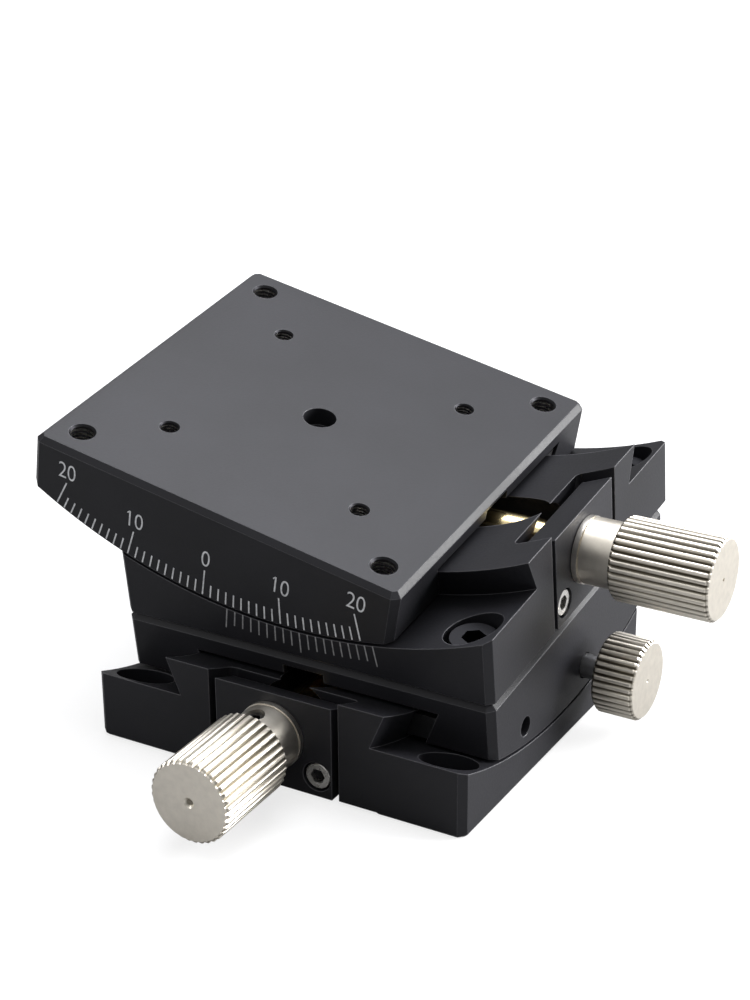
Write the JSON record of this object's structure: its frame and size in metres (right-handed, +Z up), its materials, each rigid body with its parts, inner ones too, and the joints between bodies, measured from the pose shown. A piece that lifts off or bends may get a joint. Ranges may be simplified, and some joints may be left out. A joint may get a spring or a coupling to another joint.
{
  "type": "goniometer stage",
  "caption": "Two-axis manual tilt stage: two crossed curved-dovetail tables, each swung by a worm and fluted knob, with angle scales, a drilled top plate and a counterbored base.",
  "frame": {"origin": "centre of the base block's underside", "axes": "+Z up from the base, +X along the face that carries the upper scale, towards the upper knob, +Y away from the lower knob"},
  "size_m": [0.0948, 0.0884, 0.0507],
  "materials": {
    "black_anodised": "black anodised, satin",
    "nickel": "nickel plated, polished",
    "washer_nickel": "ground",
    "brass": "polished",
    "bronze": "turned",
    "wheel_bronze": "cut teeth",
    "gib_steel": "ground",
    "screw_steel": "stainless"
  },
  "bodies": {
    "base": {"base_block": "black_anodised", "lower_worm_block": "black_anodised", "lower_worm_front_bush": "bronze"},
    "lower_drive": {"lower_worm": "brass", "lower_thrust_washer": "washer_nickel", "lower_knob": "nickel"},
    "carriage": {"lower_carriage": "black_anodised", "lower_gib": "gib_steel", "lower_worm_wheel": "wheel_bronze", "upper_block": "black_anodised", "upper_block_screws": "screw_steel", "upper_worm_block": "black_anodised", "upper_worm_front_bush": "bronze"},
    "upper_drive": {"upper_worm": "brass", "upper_thrust_washer": "washer_nickel", "upper_knob": "nickel"},
    "table": {"upper_table": "black_anodised", "upper_gib": "gib_steel", "upper_worm_wheel": "wheel_bronze"},
    "clamp_plug": {"clamp_pad": "brass"},
    "clamp_turn": {"clamp_screw": "screw_steel", "clamp_knob": "nickel"}
  },
  "joints": [
    {"name": "lower_tilt", "type": "hinge", "parent": "base", "child": "carriage", "pos_m": [0, 0, 0.0795], "axis": [1, 0, 0], "range_deg": [-27.4, 12.6]},
    {"name": "lower_knob_turn", "type": "hinge", "parent": "base", "child": "lower_drive", "pos_m": [0, -0.029, 0.0084], "axis": [0, -1, 0], "range_deg": [-7402, 3406]},
    {"name": "upper_tilt", "type": "hinge", "parent": "carriage", "child": "table", "pos_m": [0, -0.00152, 0.09897], "axis": [0, 0.9917, 0.1288], "range_deg": [-32.3, 7.7]},
    {"name": "upper_knob_turn", "type": "hinge", "parent": "carriage", "child": "upper_drive", "pos_m": [0.03, 0.00764, 0.02846], "axis": [1, 0, 0], "range_deg": [-8725, 2083]},
    {"name": "clamp_slide", "type": "slide", "parent": "carriage", "child": "clamp_plug", "axis": [1, 0, 0], "range_m": [0, 0.00105]},
    {"name": "clamp_knob_turn", "type": "hinge", "parent": "clamp_plug", "child": "clamp_turn", "pos_m": [0.03, 0.00916, 0.00899], "axis": [1, 0, 0], "range_deg": [0, 541]}
  ],
  "couplings": [
    {"joint": "lower_knob_turn", "follows": "lower_tilt", "ratio": 270},
    {"joint": "upper_knob_turn", "follows": "upper_tilt", "ratio": 270},
    {"joint": "clamp_knob_turn", "follows": "clamp_slide", "rad_per_m": 8976}
  ]
}
